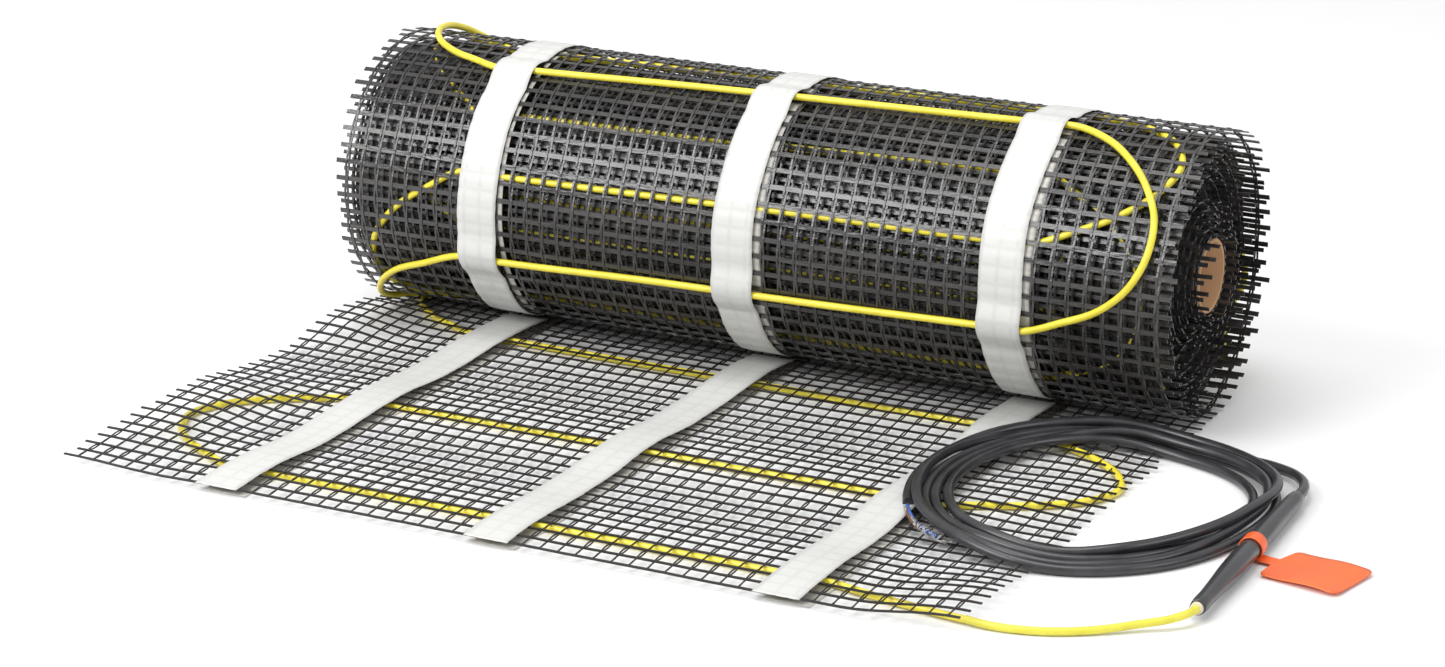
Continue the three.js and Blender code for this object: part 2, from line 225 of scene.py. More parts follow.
def new_material(name):
    """An empty node material with its Principled shader."""
    material = bpy.data.materials.new(name)
    material.use_nodes = True
    material.node_tree.nodes.clear()
    tree = material.node_tree
    shader = add_node(tree, "ShaderNodeBsdfPrincipled")
    add_node(tree, "ShaderNodeOutputMaterial", {"Surface": shader.outputs[0]})
    return material, tree, shader


def noise(tree, place, scale, detail):
    """The value of a noise texture."""
    inputs = {"Vector": place, "Scale": scale, "Detail": detail}
    return add_node(tree, "ShaderNodeTexNoise", inputs).outputs["Fac"]


def worked_out(tree, operation, a, b=0.0, c=0.0):
    """The result of one Math node."""
    return add_node(tree, "ShaderNodeMath", {0: a, 1: b, 2: c}, operation=operation).outputs[0]


def remapped(tree, value, old, new):
    """A value carried over from one range to another."""
    inputs = {"Value": value, "From Min": old[0], "From Max": old[1], "To Min": new[0], "To Max": new[1]}
    return add_node(tree, "ShaderNodeMapRange", inputs).outputs[0]


def colored(tree, value, colors, ends=(0.0, 1.0)):
    """The colour that a value takes between two colours, which lie at the ends."""
    ramp = add_node(tree, "ShaderNodeValToRGB", {"Fac": value})
    for element, color, position in zip(ramp.color_ramp.elements, colors, ends):
        element.color = (*color, 1)
        element.position = position
    return ramp.outputs[0]


def add_bump(tree, shader, height, strength, depth):
    """Gives a shader a bump of a height, at a strength and a depth."""
    inputs = {"Height": height, "Strength": strength, "Distance": depth}
    raised = add_node(tree, "ShaderNodeBump", inputs)
    tree.links.new(raised.outputs[0], shader.inputs["Normal"])


def mottled(name, colors, scale, roughness, bump=(400, 0.2, 0.0004), stretch=(1, 1, 1), shader_values=None):
    """A material whose colour and roughness wander. bump is its grain's scale, strength and depth."""
    material, tree, shader = new_material(name)
    place = add_node(tree, "ShaderNodeTexCoord").outputs["Object"]
    mapped = add_node(tree, "ShaderNodeMapping", {"Vector": place, "Scale": stretch}).outputs[0]
    wander = noise(tree, mapped, scale, 4.0)
    tree.links.new(colored(tree, wander, colors, (0.35, 0.65)), shader.inputs["Base Color"])
    tree.links.new(remapped(tree, wander, (0.3, 0.7), roughness), shader.inputs["Roughness"])
    bump_scale, strength, depth = bump
    add_bump(tree, shader, noise(tree, mapped, bump_scale, 3.0), strength, depth)
    for key, value in (shader_values or {}).items():
        shader.inputs[key].default_value = value
    return material


def tape_material(settings, name, colors):
    """Thin white film: the strands under it show as faint bands along and across."""
    material, tree, shader = new_material(name)
    place = add_node(tree, "ShaderNodeAttribute", attribute_name="mat_place").outputs["Vector"]
    parts = add_node(tree, "ShaderNodeSeparateXYZ", {"Vector": place})
    bands = []
    for axis, pitch in (("X", settings.warp_pitch), ("Y", settings.wound_pitch)):
        wave = worked_out(tree, "COSINE", worked_out(tree, "MULTIPLY", parts.outputs[axis], TURN / pitch))
        bands.append(remapped(tree, wave, (0.55, 1.0), (0.0, 1.0)))
    pressed = worked_out(tree, "MAXIMUM", *bands)
    faint = worked_out(tree, "MULTIPLY", pressed, noise(tree, place, 70.0, 3.0))
    tree.links.new(colored(tree, faint, colors), shader.inputs["Base Color"])
    crease = noise(tree, place, 260.0, 4.0)
    add_bump(tree, shader, worked_out(tree, "MULTIPLY_ADD", pressed, 0.35, crease), 0.25, 0.0004)
    shader.inputs["Roughness"].default_value = 0.42
    return material


def card_material():
    """Wound card: brown layers with a spiral seam."""
    material, tree, shader = new_material("card")
    place = add_node(tree, "ShaderNodeTexCoord").outputs["Object"]
    fibre = noise(tree, place, 180.0, 6.0)
    seam_inputs = {"Vector": place, "Scale": 3.2, "Distortion": 1.5, "Detail": 2.0}
    seam = add_node(tree, "ShaderNodeTexWave", seam_inputs, bands_direction="X").outputs["Fac"]
    both = worked_out(tree, "MULTIPLY_ADD", fibre, 0.8, seam)
    card = colored(tree, both, ((0.20, 0.10, 0.045), (0.46, 0.27, 0.14)))
    tree.links.new(card, shader.inputs["Base Color"])
    add_bump(tree, shader, fibre, 0.35, 0.0005)
    shader.inputs["Roughness"].default_value = 0.85
    return material


# Building helpers


def link(obj):
    """Puts an object in the scene and returns it."""
    bpy.context.scene.collection.objects.link(obj)
    return obj


def as_piece(obj, nodes):
    """Makes an object a piece that stands for CAD nodes."""
    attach(obj, "root")
    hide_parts(*nodes)
    return obj


def mesh_object(name, points, faces, material, place=None, smooth=True):
    """A mesh object. place is each point's place on the mat, for a material that follows it."""
    mesh = bpy.data.meshes.new(name)
    mesh.from_pydata(np.asarray(points).tolist(), [], faces)
    mesh.materials.append(material)
    if place is not None:
        layer = mesh.attributes.new("mat_place", "FLOAT_VECTOR", "POINT")
        layer.data.foreach_set("vector", np.asarray(place, np.float32).ravel())
    if smooth:
        mesh.shade_smooth()
    if mesh.validate():
        raise RuntimeError(f"{name} has faulty faces")
    return link(bpy.data.objects.new(name, mesh))


def slab(name, upper, lower, material, place=None):
    """A closed thin slab between two grids of points, upper and lower, each rows by columns by 3."""
    rows, columns = upper.shape[:2]
    count = rows * columns
    index = np.arange(count).reshape(rows, columns)
    a, b, c, d = index[:-1, :-1], index[:-1, 1:], index[1:, 1:], index[1:, :-1]
    top = np.stack([a, b, c, d], -1).reshape(-1, 4)
    faces = [*top.tolist(), *(top[:, ::-1] + count).tolist()]
    edge = [*index[0, :], *index[1:, -1], *index[-1, -2::-1], *index[-2:0:-1, 0]]
    edge = [int(i) for i in edge]
    for here, after in zip(edge, edge[1:] + edge[:1]):
        faces.append([after, here, here + count, after + count])
    points = np.vstack([upper.reshape(-1, 3), lower.reshape(-1, 3)])
    if place is not None:
        place = np.vstack([place.reshape(-1, 3)] * 2)
    return mesh_object(name, points, faces, material, place)


def tube_object(name, points, diameter, material, sides=3):
    """A round cord along points, as one open spline."""
    curve = bpy.data.curves.new(name, "CURVE")
    curve.dimensions = "3D"
    curve.bevel_depth = diameter / 2
    curve.bevel_resolution = sides
    curve.use_fill_caps = True
    spline = curve.splines.new("POLY")
    spline.points.add(len(points) - 1)
    spline.points.foreach_set("co", np.column_stack([points, np.ones(len(points))]).ravel())
    spline.use_smooth = True
    curve.materials.append(material)
    return link(bpy.data.objects.new(name, curve))


def turned(name, profile, start, direction, material, segments=48):
    """A closed solid turned about an axis, from start along direction. The profile's points are
    (distance along, radius). It starts and ends on the axis, or else its two ends are joined."""
    direction = Vector(direction).normalized()
    side = direction.orthogonal().normalized()
    other = direction.cross(side)
    on_axis = profile[0][1] == 0
    rings, points = [], []
    for along, radius in profile:
        centre = Vector(start) + direction * along
        if radius == 0:
            rings.append([len(points)])
            points.append(centre[:])
            continue
        ring = []
        for i in range(segments):
            angle = TURN * i / segments
            ring.append(len(points))
            points.append((centre + (side * math.cos(angle) + other * math.sin(angle)) * radius)[:])
        rings.append(ring)
    faces = []
    pairs = list(zip(rings, rings[1:])) + ([] if on_axis else [(rings[-1], rings[0])])
    for near, far in pairs:
        for i in range(segments):
            j = (i + 1) % segments
            if len(near) == 1:
                faces.append([near[0], far[j], far[i]])
            elif len(far) == 1:
                faces.append([near[i], near[j], far[0]])
            else:
                faces.append([near[i], near[j], far[j], far[i]])
    return mesh_object(name, points, faces, material)


# Woven mesh


SIZE_INPUTS = (
    "Length", "Half Width", "Weft Pitch", "Warp Pitch", "Weft Width", "Weft Thickness", "Warp Width",
    "Warp Thickness", "Pair Gap", "Weave", "Tip", "Wobble", "Weft Step", "Warp Step", "First Weft",
)


def woven_tree():
    """The node tree of a flat patch of woven strands: x across, y along, z up, from y = 0."""
    tree = bpy.data.node_groups.new("WovenStrands", "GeometryNodeTree")
    tree.interface.new_socket("Geometry", in_out="OUTPUT", socket_type="NodeSocketGeometry")
    for name in SIZE_INPUTS:
        tree.interface.new_socket(name, in_out="INPUT", socket_type="NodeSocketFloat")
    tree.interface.new_socket("Seed", in_out="INPUT", socket_type="NodeSocketInt")
    tree.interface.new_socket("Material", in_out="INPUT", socket_type="NodeSocketMaterial")
    given = tree.nodes.new("NodeGroupInput").outputs

    def made(kind, inputs=None, **settings):
        return add_node(tree, kind, inputs, **settings).outputs[0]

    def maths(operation, a, b=0.0, c=0.0):
        return worked_out(tree, operation, a, b, c)

    def vector(x=0.0, y=0.0, z=0.0):
        return made("ShaderNodeCombineXYZ", {"X": x, "Y": y, "Z": z})

    def line_of_points(length, pitch, start, offset):
        """Points at a pitch along a length."""
        count = maths("ADD", maths("FLOOR", maths("DIVIDE", length, pitch)), 1.0)
        inputs = {"Count": count, "Start Location": start, "Offset": offset}
        return made("GeometryNodeMeshLine", inputs, mode="OFFSET", count_mode="TOTAL")

    def stepped_line(start, end, step):
        """A straight curve with a point at each step."""
        line = made("GeometryNodeCurvePrimitiveLine", {"Start": start, "End": end})
        return made("GeometryNodeResampleCurve", {"Curve": line, "Length": step}, mode="LENGTH")

    def wandering(curves, amount):
        """Moves the points of strands a little, as a fixed noise says."""
        at = made("GeometryNodeInputPosition")
        inputs = {"Vector": at, "W": given["Seed"], "Scale": 38.0, "Detail": 2.0}
        field = add_node(tree, "ShaderNodeTexNoise", inputs, noise_dimensions="4D").outputs["Color"]
        centred = made("ShaderNodeVectorMath", {0: field, 1: (0.5, 0.5, 0.5)}, operation="SUBTRACT")
        scaled = made("ShaderNodeVectorMath", {0: centred, 1: amount}, operation="MULTIPLY")
        return made("GeometryNodeSetPosition", {"Geometry": curves, "Offset": scaled})

    def strand(curves, width, thickness):
        """Gives curves a ribbon's section."""
        upright = made("GeometryNodeSetCurveNormal", {"Curve": curves}, mode="Z_UP")
        size = {"Width": width, "Height": thickness}
        section = made("GeometryNodeCurvePrimitiveQuadrilateral", size, mode="RECTANGLE")
        inputs = {"Curve": upright, "Profile Curve": section, "Fill Caps": True}
        ribbon = made("GeometryNodeCurveToMesh", inputs)
        return made("GeometryNodeSetShadeSmooth", {"Geometry": ribbon, "Shade Smooth": False})

    def random_vector(low, high, seed):
        inputs = {0: low, 1: high, "Seed": seed}
        return made("FunctionNodeRandomValue", inputs, data_type="FLOAT_VECTOR")

    reach = maths("ADD", given["Half Width"], given["Tip"])
    weft_line = stepped_line(vector(maths("MULTIPLY", reach, -1.0)), vector(reach), given["Weft Step"])
    last_weft = maths("MULTIPLY_ADD", given["Weft Pitch"], -0.1, given["Length"])
    weft_points = line_of_points(
        maths("SUBTRACT", last_weft, given["First Weft"]),
        given["Weft Pitch"],
        vector(0.0, given["First Weft"]),
        vector(0.0, given["Weft Pitch"]),
    )
    stretch = random_vector((0.992, 1.0, 1.0), (1.004, 1.0, 1.0), given["Seed"])
    weft_inputs = {"Points": weft_points, "Instance": weft_line, "Scale": stretch}
    wefts = made("GeometryNodeInstanceOnPoints", weft_inputs)
    next_seed = maths("ADD", given["Seed"], 1.0)
    shift = random_vector((-0.0012, -0.0004, 0.0), (0.0012, 0.0004, 0.0), next_seed)
    wefts = made("GeometryNodeTranslateInstances", {"Instances": wefts, "Translation": shift})
    wefts = made("GeometryNodeRealizeInstances", {"Geometry": wefts})
    wefts = wandering(wefts, vector(0.0, given["Wobble"], maths("MULTIPLY", given["Wobble"], 0.5)))
    wefts = strand(wefts, given["Weft Width"], given["Weft Thickness"])

    warp_line = stepped_line(vector(), vector(0.0, given["Length"]), given["Warp Step"])
    warp_points = line_of_points(
        maths("MULTIPLY", given["Half Width"], 2.001),
        given["Warp Pitch"],
        vector(maths("MULTIPLY", given["Half Width"], -1.0)),
        vector(given["Warp Pitch"]),
    )
    at = made("GeometryNodeInputPosition")
    along = add_node(tree, "ShaderNodeSeparateXYZ", {"Vector": at}).outputs["Y"]
    phase = maths("MULTIPLY", maths("DIVIDE", along, given["Weft Pitch"]), math.pi)
    rise = maths("MULTIPLY", maths("SINE", phase), given["Weave"])
    pairs = add_node(tree, "GeometryNodeJoinGeometry")
    for side in (1.0, -1.0):
        bent = vector(maths("MULTIPLY", given["Pair Gap"], side), 0.0, maths("MULTIPLY", rise, side))
        thread = made("GeometryNodeSetPosition", {"Geometry": warp_line, "Offset": bent})
        threads = made("GeometryNodeInstanceOnPoints", {"Points": warp_points, "Instance": thread})
        tree.links.new(threads, pairs.inputs[0])
    warps = made("GeometryNodeRealizeInstances", {"Geometry": pairs.outputs[0]})
    warps = wandering(warps, vector(given["Wobble"], 0.0, maths("MULTIPLY", given["Wobble"], 0.3)))
    warps = strand(warps, given["Warp Width"], given["Warp Thickness"])

    both = add_node(tree, "GeometryNodeJoinGeometry")
    for part in (wefts, warps):
        tree.links.new(part, both.inputs[0])
    whole = made("GeometryNodeRealizeInstances", {"Geometry": both.outputs[0]})
    painted = made("GeometryNodeSetMaterial", {"Geometry": whole, "Material": given["Material"]})
    add_node(tree, "NodeGroupOutput", {"Geometry": painted})
    return tree


def woven_patch(tree, values):
    """A patch's mesh as the node tree makes it."""
    carrier = link(bpy.data.objects.new("woven_patch", bpy.data.meshes.new("woven_patch")))
    modifier = carrier.modifiers.new("Strands", "NODES")
    modifier.node_group = tree
    for item in tree.interface.items_tree:
        if item.item_type == "SOCKET" and item.in_out == "INPUT":
            modifier[item.identifier] = values[item.name]
    evaluated = carrier.evaluated_get(bpy.context.evaluated_depsgraph_get())
    mesh = bpy.data.meshes.new_from_object(evaluated)
    carrier.modifiers.remove(modifier)
    bpy.data.objects.remove(carrier)
    if not mesh.polygons:
        raise RuntimeError("the node tree made no strands")
    return mesh


def mesh_points(mesh):
    """A mesh's points as an array."""
    points = np.zeros(len(mesh.vertices) * 3, np.float32)
    mesh.vertices.foreach_get("co", points)
    return points.reshape(-1, 3).astype(float)


def flat_cable_line():
    """Where the cable lies on the flat part and just past it, across and along."""
    line = cable_line(0.006)
    return line[line[:, 1] < FLAT_LENGTH + 0.08][:, :2]


# How high the flat mesh is raised where it lies on the cable, and between the cable's runs.
OVER_CABLE, BETWEEN_RUNS = 0.0037, 0.0015


def underside(across, along, cable):
    """Height of the flat mesh's underside over its low place: raised over the cable and along its edges."""
    across, along = np.asarray(across, float), np.asarray(along, float)
    nearest = np.full(across.shape, 1.0)
    for x, y in cable:
        np.minimum(nearest, np.hypot(across - x, along - y), out=nearest)
    raised = OVER_CABLE - (OVER_CABLE - BETWEEN_RUNS) * smoothstep(nearest, 0.007, 0.052)
    steps = np.arange(len(LEFT_EDGE_LIFT)) * EDGE_STEP
    left = np.interp(along, steps, LEFT_EDGE_LIFT) / 1000
    right = np.interp(along, steps, RIGHT_EDGE_LIFT) / 1000
    left_share = smoothstep(-across, 0.185, 0.250)
    right_share = smoothstep(across, 0.195, 0.252)
    wave = 0.0005 * (1 + np.sin(across * 52 + 2 * np.sin(along * 31)) * np.sin(along * 44 + 1))
    inner = np.maximum(raised, wave * smoothstep(FLAT_LENGTH - along, 0.01, 0.05))
    return inner * (1 - left_share) * (1 - right_share) + left * left_share + right * right_share


def mesh_materials():
    """The strands on the roll and on the floor, as a lit and a shaded copy of one material: the roll's copy
    is painted lighter as sheen and is glossier, and the floor's copy is darker and duller. Also the roll's
    inside, painted dark as shade.
    """
    # The roll's copy of the strands: its lighter colour is painted sheen.
    lit_glossy = mottled(
        "mesh_on_roll", ((0.016, 0.0155, 0.0155), (0.040, 0.036, 0.034)), 60, (0.20, 0.36),
        (700, 0.6, 0.0005), (0.3, 1, 1), {"Specular IOR Level": 0.8},
    )
    # The floor's copy of the same strands: its darker colour is the shaded one of the pair.
    shaded_dull = mottled(
        "mesh_on_floor", ((0.008, 0.006, 0.0055), (0.020, 0.015, 0.013)), 60, (0.36, 0.52),
        (900, 0.3, 0.0003),
    )
    # The roll's inside stands for its inner turns of mesh, in a colour painted darker than the strands as
    # shade.
    shaded_inside = mottled(
        "roll_inside", ((0.006, 0.006, 0.006), (0.016, 0.014, 0.013)), 120, (0.3, 0.5),
        (320, 0.9, 0.002),
    )
    return lit_glossy, shaded_dull, shaded_inside


def strand_values(settings):
    """What every patch of the mesh shares: sizes in metres, the rest as the node tree's inputs say."""
    return {
        "Half Width": settings.half_width,
        "Weft Pitch": settings.wound_pitch,
        "Warp Pitch": settings.warp_pitch,
        "Weft Width": 0.0024,
        "Weft Thickness": 0.0006,
        "Warp Width": 0.0010,
        "Warp Thickness": 0.0006,
        "Pair Gap": 0.0007,
        "Weave": 0.0005,
        "Tip": settings.tip_length,
        "Wobble": 0.0011,
        "Weft Step": 0.006,
        "Warp Step": settings.wound_pitch / 4,
        "First Weft": settings.wound_pitch / 2,
    }


def flat_mesh(tree, settings, material):
    """The mesh's flat part, draped over the cable."""
    values = {
        **strand_values(settings),
        "Length": FLAT_LENGTH,
        "Seed": settings.seed,
        "Weft Pitch": settings.weft_pitch,
        "First Weft": 0.0,
        "Weft Width": 0.0014,
        "Weft Thickness": 0.0008,
        "Warp Width": 0.0006,
        "Pair Gap": 0.0004,
        "Material": material,
    }
    flat = woven_patch(tree, values)
    points = mesh_points(flat)
    height = underside(points[:, 0], points[:, 1], flat_cable_line())
    placed = on_mat(points)
    placed[:, 2] += height
    flat.vertices.foreach_set("co", placed.astype(np.float32).ravel())
    flat.name = "mesh_flat"
    as_piece(link(bpy.data.objects.new("mesh_flat", flat)), ["glass_fibre_mesh"])


def on_mat(points):
    """A patch's points, given across, along and up from the mesh's middle, in the shared frame."""
    return wrapped(np.column_stack([points[:, 0], points[:, 1], -(points[:, 2] + MESH_THICKNESS / 2)]))


def turn_values(settings, turn):
    """What one turn's strands change: the outermost is the finest, and those under it are plainer."""
    if turn == 0:
        return {"Warp Step": settings.wound_pitch / 3, "Weft Width": 0.0027, "Warp Width": 0.0011}
    plainer = {"Warp Step": settings.wound_pitch / 2, "Warp Width": 0.0016, "Pair Gap": 0.0}
    plainer["Weft Step"] = 0.0085
    if turn > 1:
        plainer["Wobble"] = 0.002
    return plainer


def rolled_mesh(tree, settings, turn, material):
    """One turn of the roll: over its whole width, or, deeper in, only its two ends."""
    start, end = along_at(360 * turn), along_at(360 * (turn + 1) - 0.01)
    edge = settings.half_width - TURN_RECESS[turn]
    if turn < settings.detailed_turns:
        shares = [(f"mesh_turn_{turn + 1}", 0, edge)]
    else:
        half = 2 * settings.warp_pitch
        shares = [(f"mesh_turn_{turn + 1}_left", -1, half), (f"mesh_turn_{turn + 1}_right", 1, half)]
    for name, side, half in shares:
        values = {
            **strand_values(settings),
            **turn_values(settings, turn),
            "Length": end - start,
            "Half Width": half,
            "Seed": settings.seed + 10 * turn + 3 + side,
            "Material": material,
        }
        patch = woven_patch(tree, values)
        points = mesh_points(patch)
        points[:, 0] += side * (edge - half)
        points[:, 1] += start
        patch.vertices.foreach_set("co", on_mat(points).astype(np.float32).ravel())
        as_piece(link(bpy.data.objects.new(name, patch)), ["glass_fibre_mesh"])


def mesh_pieces(settings):
    """The woven mesh: its flat part, its turns and the roll's inside, a drum painted dark as shade."""
    tree = woven_tree()
    lit_glossy, shaded_dull, shaded_inside = mesh_materials()
    flat_mesh(tree, settings, shaded_dull)
    for turn in range(len(TURN_RADII)):
        rolled_mesh(tree, settings, turn, lit_glossy)
    profile = inside_profile(settings.detailed_turns)
    inside = turned("roll_inside", profile, ROLL_MIDDLE, (1, 0, 0), shaded_inside, 96)
    as_piece(inside, ["glass_fibre_mesh"])


def inside_profile(detailed):
    """The roll's inside, painted dark as shade, (distance along, radius): a drum with a ridge under each
    turn at both ends.
    """
    bore, drum_end, loose_end = 0.0208, 0.196, 0.190
    under, thick, chamfer = 0.0013, 0.0017, 0.0004
    ridge_depth, least_depth, left_shift = 0.016, 0.004, 0.004
    right = [(drum_end, TURN_RADII[detailed] - 0.0011), (drum_end, TURN_RADII[1] - under)]
    for turn in range(1, len(TURN_RADII)):
        top = TURN_RADII[turn] - under
        end = 0.250 - TURN_RECESS[turn] - (0.007 if turn < 6 else 0.004)
        right += [(end - 0.001, top), (end, top - chamfer), (end - 0.001, top - thick)]
        if turn + 1 < len(TURN_RADII):
            floor = min(loose_end if turn == 5 else end - ridge_depth, end - least_depth)
            right += [(floor, top - thick - chamfer), (floor, TURN_RADII[turn + 1] - under)]
    right.append((right[-1][0], bore))
    left = [(-along - left_shift, radius) for along, radius in reversed(right)]
    return left + right


# Heating cable

# One loop's shape: the share of its reach outwards, and the share of the way from one run to the next.
LOOP_SHAPE = [(0.3, 0.08), (0.64, 0.19), (0.9, 0.34), (1, 0.5), (0.9, 0.66), (0.64, 0.81), (0.3, 0.92)]

# Where the cable's runs lie at their left and right end: millimetres along the flat part, then degrees round
# the roll.
FLAT_RUNS = [(31.5, 29), (151, 149), (279, 271)]
ROLL_RUNS = [
    (33.7, 32.2), (117.5, 114.6), (205.1, 195.2), (289.5, 283.5), (364, 364), (446, 446), (544, 528),
    (613.6, 609.7), (716, 716), (826, 822), (945, 938), (1046, 1040),
]
RUN_SPACING = 0.120
RUN_HALF = 0.175
# How far the cable's mid line lies off the mesh's outer side, on the floor and on the roll.
FLOOR_OFF = -0.0017
ROLL_OFF = 0.0023

# Loops of the outer turn: millimetres across, degrees round the roll, millimetres off.
SEEN_LOOPS = {
    4: [
        (-190, 122, 2.5), (-214, 132, 2.6), (-229, 147, 2.8), (-234, 162, 3), (-233, 175, 3), (-228, 185, 3),
        (-219, 193, 3), (-205, 199, 2.8), (-187, 202.6, 2.3),
    ],
    5: [
        (177.6, 195.3, 2.3), (197.6, 200.8, 2.6), (217, 211.2, 3), (232.7, 223.7, 3), (241, 235.3, 3),
        (241, 248.5, 3), (233.5, 260.3, 3), (217.8, 270.6, 2.6), (195.3, 278, 2.3),
    ],
    6: [
        (-200, 296, 2.3), (-223, 303, 2.4), (-240, 315, 2.5), (-248, 330, 2.5), (-245, 345, 2.3),
        (-228, 356, 2.3), (-202, 361, 2.3),
    ],
}
# How far out the other loops reach: the first four one by one, one on the roll's back, and any other.
FIRST_REACHES = [0.239, 0.2515, 0.238, 0.242]
BACK_LOOP, BACK_REACH = 9, 0.243
USUAL_REACH = 0.241


def cable_runs():
    """Where each run lies along the mat, at its left and its right end."""
    runs = [(left / 1000, right / 1000) for left, right in FLAT_RUNS]
    runs += [(along_at(left), along_at(right)) for left, right in ROLL_RUNS]
    angle = ROLL_RUNS[-1][0]
    while True:
        radius = float(np.interp(math.radians(angle), ANGLES, RADII))
        angle += math.degrees(RUN_SPACING / radius)
        if angle > len(TURN_RADII) * 360 - 60:
            return runs
        runs.append((along_at(angle), along_at(angle - 4)))


def loop_reach(number, start):
    """How far out a loop reaches from the mat's middle."""
    if number < len(FIRST_REACHES):
        return FIRST_REACHES[number]
    if number == BACK_LOOP:
        return BACK_REACH
    turn = int(max(0, np.interp(start, ALONG, ANGLES)) // TURN)
    return USUAL_REACH - 1.2 * TURN_RECESS[turn]


def cable_line(step):
    """The heating cable on the mat: across, along and off the mesh, in metres."""
    runs = cable_runs()
    points = [(0.2497, 0.0168, FLOOR_OFF), (0.222, 0.020, FLOOR_OFF), (0.196, 0.0245, FLOOR_OFF)]
    for i, (left, right) in enumerate(runs):
        side = -1 if i % 2 == 0 else 1
        start, from_other = (left, right) if side < 0 else (right, left)
        off = FLOOR_OFF if i < len(FLAT_RUNS) else ROLL_OFF
        points.append((-side * RUN_HALF, from_other, off))
        for share in (0.07, 0.36, 0.66, 0.93):
            sag = 0.0004 * math.sin(5.1 * i + 9 * share)
            along = from_other + share * (start - from_other) + sag
            points.append((side * RUN_HALF * (2 * share - 1), along, off))
        points.append((side * RUN_HALF, start, off))
        if i + 1 == len(runs):
            break
        if i in SEEN_LOOPS:
            points += [(x / 1000, along_at(degrees), lift / 1000) for x, degrees, lift in SEEN_LOOPS[i]]
            continue
        end = runs[i + 1][0 if side < 0 else 1]
        reach = loop_reach(i, start)
        for out, on in LOOP_SHAPE:
            along = start + on * (end - start)
            lift = off
            if i + 1 == len(FLAT_RUNS):
                risen = float(smoothstep(along, FLAT_LENGTH, FLAT_LENGTH + 0.03))
                lift = FLOOR_OFF + (ROLL_OFF - FLOOR_OFF) * risen
            points.append((side * (RUN_HALF + out * (reach - RUN_HALF)), along, lift))
    return line_through(points, step)


def cable_pieces(settings):
    """The heating cable on the mat, and its free end."""
    yellow = mottled(
        "heating_cable", ((0.74, 0.62, 0.035), (0.84, 0.72, 0.06)), 90, (0.30, 0.40), (700, 0.12, 0.0003),
        shader_values={"Coat Weight": 0.15, "Coat Roughness": 0.2},
    )
    greener = mottled(
        "heating_cable_free", ((0.66, 0.60, 0.045), (0.76, 0.70, 0.07)), 90, (0.30, 0.40),
        (700, 0.12, 0.0003), shader_values={"Coat Weight": 0.15, "Coat Roughness": 0.2},
    )
    radius = settings.cable_diameter / 2
    points = wrapped(cable_line(0.005))
    points[:, 2] = np.maximum(points[:, 2], radius + 0.0004)
    cable = tube_object("heating_cable_on_mat", points, settings.cable_diameter, yellow, 2)
    as_piece(cable, ["heating_cable"])

    way = [
        (249.7, 16.8, 2.7), (259, 15.6, 2.4), (268, 16, 2.3), (289, 21.5, 2.3), (309, 33, 2.6),
        (325, 45.5, 3.9), (337.5, 54.5, 5.5), (343.0, 61.5, 6.5), (344.7, 69.5, 6.7),
    ]
    free = line_through([spot(*p) for p in way], 0.004)
    piece = tube_object("heating_cable_free", free, settings.cable_diameter, greener, 3)
    as_piece(piece, ["heating_cable_lead_out"])


# Tapes

TAPE_HALF_THICK = 0.00013
# How far each tape on the roll lies from its even place.
ROLL_TAPE_SHIFTS = {"left": -0.0002, "middle": 0.0025, "right": 0.001}
# How far the tape under the mesh lies beside the one over it, on the roll and on the floor.
SHOWS_ON_ROLL, SHOWS_ON_FLOOR = 0.0028, 0.0045
# The angle round the roll, in degrees, up to which the tapes are drawn.
TAPES_TO = 343


def tape_strip(name, settings, centre, along, off, material, wander_seed, height=None):
    """A tape as a thin closed strip. along and off are its mid line on the mat; height raises it."""
    columns = np.linspace(-0.5, 0.5, 9) * settings.tape_width
    drift = 0.0007 * np.sin(along * 21 + wander_seed) + 0.0003 * np.sin(along * 90 + 2 * wander_seed)
    across = centre + drift[:, None] + columns[None, :]
    mat_along = np.repeat(along[:, None], len(columns), axis=1)
    ripple = 0.00012 * np.sin(across * 900 + mat_along * 330) * np.cos(mat_along * 641 + 3 * wander_seed)
    middle = off[:, None] + ripple
    place = np.stack([across, mat_along, middle], -1)
    sheets = []
    for side in (1, -1):
        points = np.stack([across, mat_along, middle + side * TAPE_HALF_THICK], -1).reshape(-1, 3)
        sheet = wrapped(points)
        if height is not None:
            sheet[:, 2] += height(points[:, 0], points[:, 1])
        sheet[:, 2] = np.maximum(sheet[:, 2], 0.0002 if side > 0 else 0.0004)
        sheets.append(sheet.reshape(*across.shape, 3))
    outer, inner = sheets
    piece = slab(name, outer[:, ::-1], inner[:, ::-1], material, place[:, ::-1])
    node = name.removesuffix("_roll").removesuffix("_floor")
    return as_piece(piece, [node])


def over_cable(settings, centre, along):
    """How far the outer tape lies off the roll: it follows the strands and rises over the cable's runs."""
    share = (centre + RUN_HALF) / (2 * RUN_HALF)
    off = 0.0005 + 0.00012 * np.cos((along - FLAT_LENGTH) * TURN / settings.wound_pitch + math.pi)
    for left, right in ROLL_RUNS[:4]:
        crossing = along_at(left) + share * (along_at(right) - along_at(left))
        rise = 0.0047 * (1 - smoothstep(np.abs(along - crossing), 0.0010, 0.0175))
        off = np.maximum(off, rise)
    return off


